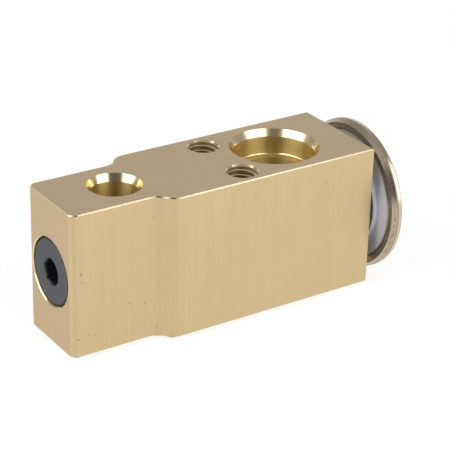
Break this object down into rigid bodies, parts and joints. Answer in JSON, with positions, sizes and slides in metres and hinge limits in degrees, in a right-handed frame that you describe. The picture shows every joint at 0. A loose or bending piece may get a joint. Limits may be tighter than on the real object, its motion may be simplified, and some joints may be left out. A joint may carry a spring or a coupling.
{
  "type": "thermostatic expansion valve",
  "caption": "Block-type expansion valve with a diaphragm power head, sensing rod, ball and orifice, superheat spring and hex adjusting screw.",
  "frame": {"origin": "midway between the two fixing holes, on the evaporator-side face of the block", "axes": "+X along the valve axis from the adjusting end to the power head, +Z from the evaporator side to the pipe side, +Y across the block"},
  "size_m": [0.076, 0.032, 0.0321],
  "materials": {
    "block_alloy": "pale gold conversion coat, machined top",
    "black_oxide": "black oxide, satin",
    "stainless": "satin",
    "head_steel": "satin, blue-grey",
    "rim_steel": "heat tinted by welding",
    "spring_steel": "satin",
    "rod_alloy": "turned",
    "seal_rubber": "matt",
    "seal_plastic": "matt white"
  },
  "bodies": {
    "block": {"valve_block": "block_alloy", "orifice_insert": "stainless", "rod_o_ring": "seal_rubber", "rod_backup_ring": "seal_plastic", "rod_retainer": "spring_steel", "head_collar": "stainless", "head_o_ring": "seal_rubber", "head_seat": "head_steel", "diaphragm": "stainless", "head_cover": "rim_steel", "charge_plug": "stainless", "superheat_spring": "spring_steel"},
    "valve_train": {"valve_ball": "stainless", "ball_carrier": "stainless", "damper_spring": "spring_steel", "push_rod": "stainless", "sensing_rod": "rod_alloy", "stop_plate": "stainless"},
    "screw_seal": {"adjusting_o_ring": "seal_rubber"},
    "screw": {"adjusting_screw": "black_oxide"}
  },
  "joints": [
    {"name": "valve_lift", "type": "slide", "parent": "block", "child": "valve_train", "axis": [-1, 0, 0], "range_m": [0, 0.0006], "stiffness_N_per_m": 1000, "springref_m": -0.0006, "deforming": ["superheat_spring"]},
    {"name": "screw_travel", "type": "slide", "parent": "block", "child": "screw_seal", "axis": [1, 0, 0], "range_m": [-0.0005, 0.001], "deforming": ["superheat_spring"]},
    {"name": "screw_turn", "type": "hinge", "parent": "screw_seal", "child": "screw", "pos_m": [-0.0389, 0, 0.01505], "axis": [1, 0, 0], "range_deg": [-180, 360]}
  ],
  "couplings": [
    {"joint": "screw_travel", "follows": "screw_turn", "m_per_rad": 0.00015915}
  ]
}
